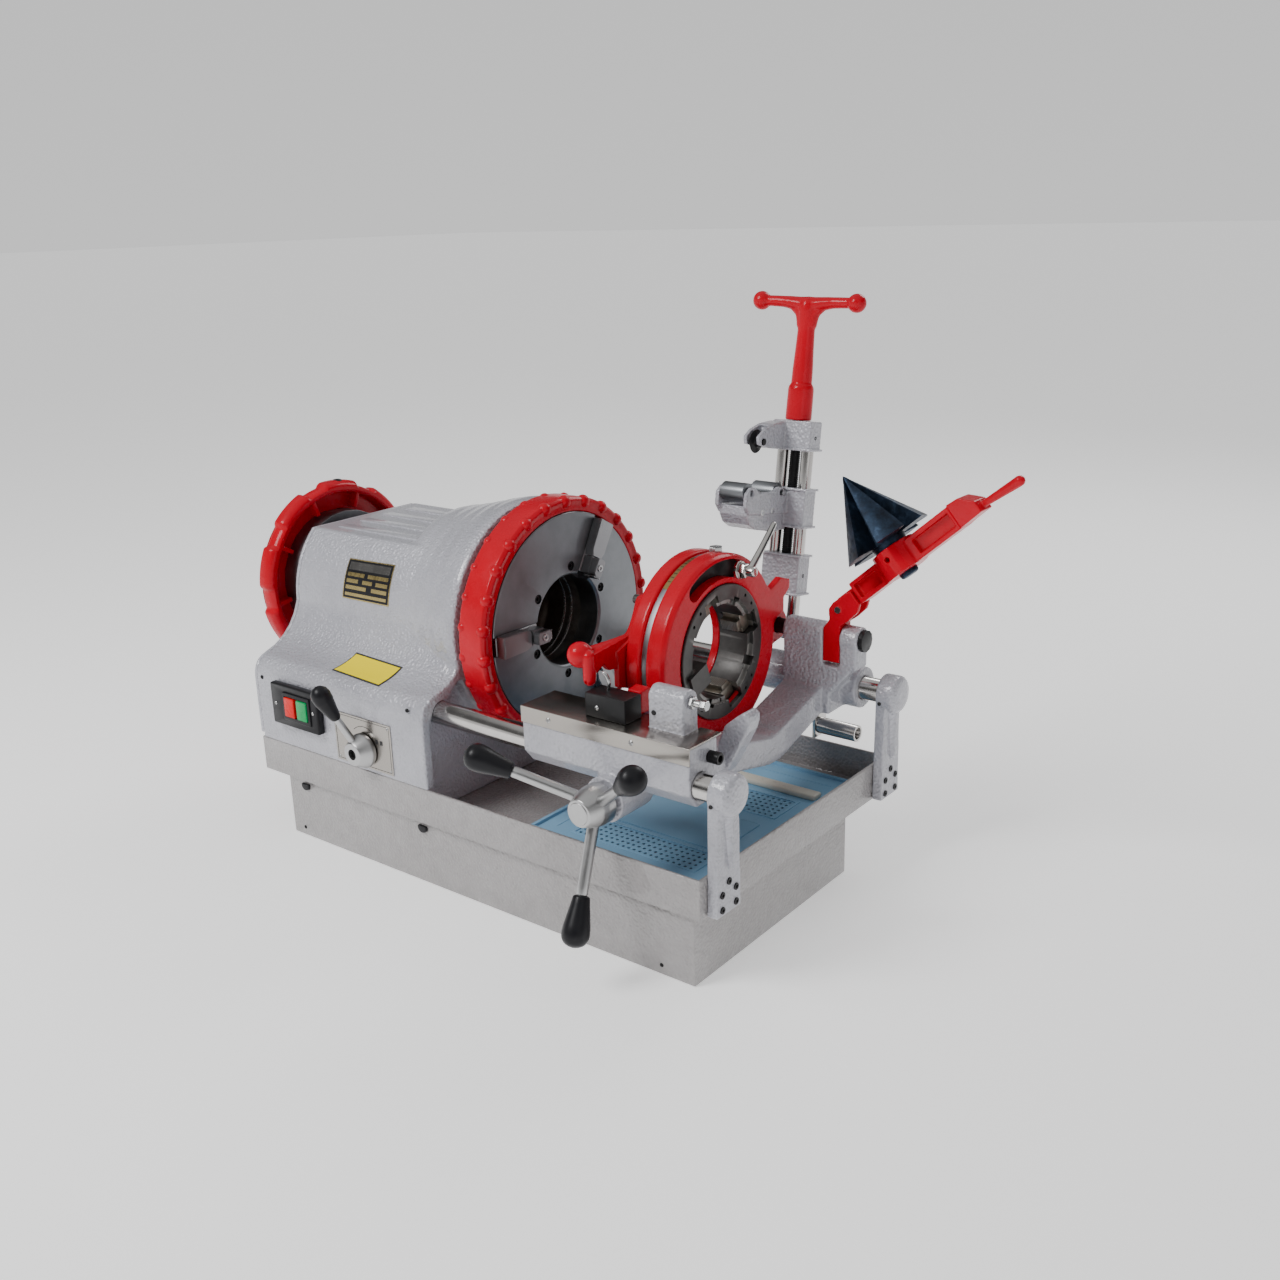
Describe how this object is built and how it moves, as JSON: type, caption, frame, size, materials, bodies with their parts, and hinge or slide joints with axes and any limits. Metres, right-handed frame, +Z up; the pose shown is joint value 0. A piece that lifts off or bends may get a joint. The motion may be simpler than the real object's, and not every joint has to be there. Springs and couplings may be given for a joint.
{
  "type": "pipe threading machine",
  "caption": "Bench pipe threading machine: hammer chuck headstock, rail carriage with die head, pipe cutter and reamer, star feed wheel, over a chip tray and oil tank.",
  "frame": {"origin": "on the ground, straight below the spindle axis, in the plane of the front chuck face", "axes": "+X along the spindle away from the headstock, +Y to the back of the machine (operator at -Y), +Z up"},
  "size_m": [1.0176, 0.584, 0.7136],
  "materials": {
    "hammertone_paint": "hammertone grey-lilac enamel, satin",
    "red_paint": "gloss red enamel",
    "machined_steel": "turned and brushed steel",
    "chrome_plate": "bright plated steel",
    "dark_steel": "dark oiled steel",
    "black_plastic": "black moulded plastic",
    "black_steel": "black oxide steel",
    "bronze": "tool bronze, oiled",
    "stainless_sheet": "rolled stainless sheet",
    "blued_steel": "blued hardened steel",
    "screen_enamel": "blue-grey enamelled perforated sheet",
    "red_plastic": "gloss moulded",
    "green_plastic": "gloss moulded"
  },
  "bodies": {
    "frame": {"base_tank": "hammertone_paint", "chip_tray": "hammertone_paint", "drip_screen": "screen_enamel", "headstock_casting": "hammertone_paint", "headstock_end_cover": "hammertone_paint", "front_bearing": "bronze", "rear_bearing": "bronze", "motor_housing": "dark_steel", "oil_pump": "dark_steel", "rail_front": "chrome_plate", "rail_rear": "chrome_plate", "rail_bracket_front": "hammertone_paint", "rail_bracket_rear": "hammertone_paint", "switch_housing": "black_plastic"},
    "stop_key": {"stop_button": "red_plastic"},
    "start_key": {"start_button": "green_plastic"},
    "selector": {"selector_lever": "chrome_plate"},
    "spindle": {"spindle_tube": "machined_steel", "spindle_gear": "machined_steel", "front_chuck_body": "machined_steel", "rear_chuck_body": "machined_steel"},
    "hammer_wheel": {"hammer_ring": "red_paint"},
    "jaw_1": {"front_jaw_1": "dark_steel"},
    "jaw_2": {"front_jaw_2": "dark_steel"},
    "jaw_3": {"front_jaw_3": "dark_steel"},
    "rear_wheel": {"rear_ring": "red_paint"},
    "rear_grip_1": {"rear_jaw_1": "dark_steel"},
    "rear_grip_2": {"rear_jaw_2": "dark_steel"},
    "rear_grip_3": {"rear_jaw_3": "dark_steel"},
    "layshaft": {"layshaft_gears": "machined_steel"},
    "rotor": {"motor_rotor": "machined_steel"},
    "carriage": {"carriage_casting": "hammertone_paint", "splash_cover": "stainless_sheet", "latch_block": "black_steel", "pivot_shaft": "black_steel", "oil_tube_holder": "chrome_plate"},
    "feed": {"feed_hub": "chrome_plate", "feed_grip_1": "black_plastic", "feed_grip_2": "black_plastic", "feed_grip_3": "black_plastic"},
    "die_head": {"die_head_body": "red_paint", "die_head_core": "dark_steel"},
    "throw_lever": {"cam_and_throw_lever": "red_paint"},
    "die_1": {"chaser_1": "bronze"},
    "die_2": {"chaser_2": "bronze"},
    "die_3": {"chaser_3": "bronze"},
    "die_4": {"chaser_4": "bronze"},
    "clamp": {"clamp_lever": "chrome_plate"},
    "cutter": {"cutter_yoke": "hammertone_paint", "cutter_rod_left": "chrome_plate", "cutter_rod_right": "chrome_plate", "cutter_head": "hammertone_paint"},
    "slider": {"roller_slider": "hammertone_paint"},
    "screw": {"cutter_screw_handle": "red_paint"},
    "wheel": {"cutter_wheel": "black_steel"},
    "roller_1": {"cutter_roller_1": "machined_steel"},
    "roller_2": {"cutter_roller_2": "machined_steel"},
    "link": {"reamer_link": "red_paint"},
    "reamer": {"reamer_arm": "red_paint", "reamer_cone": "blued_steel"}
  },
  "joints": [
    {"name": "stop_press", "type": "slide", "parent": "frame", "child": "stop_key", "axis": [0, 1, 0], "range_m": [0, 0.003], "stiffness_N_per_m": 600},
    {"name": "start_press", "type": "slide", "parent": "frame", "child": "start_key", "axis": [0, 1, 0], "range_m": [0, 0.003], "stiffness_N_per_m": 600},
    {"name": "selector_turn", "type": "hinge", "parent": "frame", "child": "selector", "pos_m": [-0.166, -0.23, 0.168], "axis": [0, 1, 0], "range_deg": [-40, 40]},
    {"name": "spindle_spin", "type": "hinge", "parent": "frame", "child": "spindle", "pos_m": [0, 0, 0.3128], "axis": [1, 0, 0], "continuous": true},
    {"name": "hammer_turn", "type": "hinge", "parent": "spindle", "child": "hammer_wheel", "pos_m": [0, 0, 0.3128], "axis": [1, 0, 0], "range_deg": [0, 120]},
    {"name": "jaw_1_slide", "type": "slide", "parent": "spindle", "child": "jaw_1", "axis": [0, -1, 0], "range_m": [-0.048, 0]},
    {"name": "jaw_2_slide", "type": "slide", "parent": "spindle", "child": "jaw_2", "axis": [0, 0.5, -0.866], "range_m": [-0.048, 0]},
    {"name": "jaw_3_slide", "type": "slide", "parent": "spindle", "child": "jaw_3", "axis": [0, 0.5, 0.866], "range_m": [-0.048, 0]},
    {"name": "rear_wheel_turn", "type": "hinge", "parent": "spindle", "child": "rear_wheel", "pos_m": [-0.45, 0, 0.3128], "axis": [1, 0, 0], "range_deg": [0, 90]},
    {"name": "rear_grip_1_slide", "type": "slide", "parent": "spindle", "child": "rear_grip_1", "axis": [0, 0, 1], "range_m": [-0.028, 0]},
    {"name": "rear_grip_2_slide", "type": "slide", "parent": "spindle", "child": "rear_grip_2", "axis": [0, -0.866, -0.5], "range_m": [-0.028, 0]},
    {"name": "rear_grip_3_slide", "type": "slide", "parent": "spindle", "child": "rear_grip_3", "axis": [0, 0.866, -0.5], "range_m": [-0.028, 0]},
    {"name": "layshaft_spin", "type": "hinge", "parent": "frame", "child": "layshaft", "pos_m": [-0.32, 0.03, 0.20905], "axis": [1, 0, 0], "continuous": true},
    {"name": "rotor_spin", "type": "hinge", "parent": "frame", "child": "rotor", "pos_m": [-0.2, 0.08, 0.20905], "axis": [1, 0, 0], "continuous": true},
    {"name": "carriage_slide", "type": "slide", "parent": "frame", "child": "carriage", "axis": [1, 0, 0], "range_m": [-0.09, 0.007]},
    {"name": "feed_turn", "type": "hinge", "parent": "carriage", "child": "feed", "pos_m": [0.2295, -0.22, 0.198], "axis": [0, 1, 0], "range_deg": [-24, 290]},
    {"name": "die_head_swing", "type": "hinge", "parent": "carriage", "child": "die_head", "pos_m": [0.2, 0.146, 0.306], "axis": [1, 0, 0], "range_deg": [-20, 0]},
    {"name": "throw_lever_lift", "type": "hinge", "parent": "die_head", "child": "throw_lever", "pos_m": [0.19, 0, 0.3128], "axis": [1, 0, 0], "range_deg": [-20, 0]},
    {"name": "die_1_slide", "type": "slide", "parent": "die_head", "child": "die_1", "axis": [0, 0.9397, 0.342], "range_m": [0, 0.006]},
    {"name": "die_2_slide", "type": "slide", "parent": "die_head", "child": "die_2", "axis": [0, -0.342, 0.9397], "range_m": [0, 0.006]},
    {"name": "die_3_slide", "type": "slide", "parent": "die_head", "child": "die_3", "axis": [0, -0.9397, -0.342], "range_m": [0, 0.006]},
    {"name": "die_4_slide", "type": "slide", "parent": "die_head", "child": "die_4", "axis": [0, 0.342, -0.9397], "range_m": [0, 0.006]},
    {"name": "clamp_turn", "type": "hinge", "parent": "die_head", "child": "clamp", "pos_m": [0.25, 0.0342, 0.40677], "axis": [1, 0, 0], "range_deg": [-40, 40]},
    {"name": "cutter_swing", "type": "hinge", "parent": "carriage", "child": "cutter", "pos_m": [0.18, 0.146, 0.306], "axis": [1, 0, 0], "range_deg": [0, 12]},
    {"name": "screw_turn", "type": "hinge", "parent": "cutter", "child": "screw", "pos_m": [0.2, 0.24231, 0.59448], "axis": [0, 0.1564, 0.9877], "range_deg": [-2160, 1440]},
    {"name": "slider_slide", "type": "slide", "parent": "cutter", "child": "slider", "axis": [0, 0.1564, 0.9877], "range_m": [-0.02, 0.03]},
    {"name": "wheel_spin", "type": "hinge", "parent": "cutter", "child": "wheel", "pos_m": [0.178, 0.17062, 0.53497], "axis": [1, 0, 0], "continuous": true},
    {"name": "roller_1_spin", "type": "hinge", "parent": "slider", "child": "roller_1", "pos_m": [0.178, 0.12521, 0.47837], "axis": [1, 0, 0], "continuous": true},
    {"name": "roller_2_spin", "type": "hinge", "parent": "slider", "child": "roller_2", "pos_m": [0.178, 0.19435, 0.46742], "axis": [1, 0, 0], "continuous": true},
    {"name": "reamer_link_swing", "type": "hinge", "parent": "carriage", "child": "link", "pos_m": [0.3135, 0.146, 0.306], "axis": [1, 0, 0], "range_deg": [0, 90]},
    {"name": "reamer_fold", "type": "hinge", "parent": "link", "child": "reamer", "pos_m": [0.322, 0.146, 0.3445], "axis": [0, 1, 0], "range_deg": [-38, 0]}
  ],
  "couplings": [
    {"joint": "jaw_1_slide", "follows": "hammer_turn", "m_per_rad": -0.0229},
    {"joint": "jaw_2_slide", "follows": "hammer_turn", "m_per_rad": -0.0229},
    {"joint": "jaw_3_slide", "follows": "hammer_turn", "m_per_rad": -0.0229},
    {"joint": "rear_grip_1_slide", "follows": "rear_wheel_turn", "m_per_rad": -0.0178},
    {"joint": "rear_grip_2_slide", "follows": "rear_wheel_turn", "m_per_rad": -0.0178},
    {"joint": "rear_grip_3_slide", "follows": "rear_wheel_turn", "m_per_rad": -0.0178},
    {"joint": "layshaft_spin", "follows": "spindle_spin", "ratio": -2.375},
    {"joint": "rotor_spin", "follows": "spindle_spin", "ratio": 5.5417},
    {"joint": "feed_turn", "follows": "carriage_slide", "rad_per_m": -55.556},
    {"joint": "die_1_slide", "follows": "throw_lever_lift", "m_per_rad": -0.0171},
    {"joint": "die_2_slide", "follows": "throw_lever_lift", "m_per_rad": -0.0171},
    {"joint": "die_3_slide", "follows": "throw_lever_lift", "m_per_rad": -0.0171},
    {"joint": "die_4_slide", "follows": "throw_lever_lift", "m_per_rad": -0.0171},
    {"joint": "slider_slide", "follows": "screw_turn", "m_per_rad": -0.00079577}
  ]
}
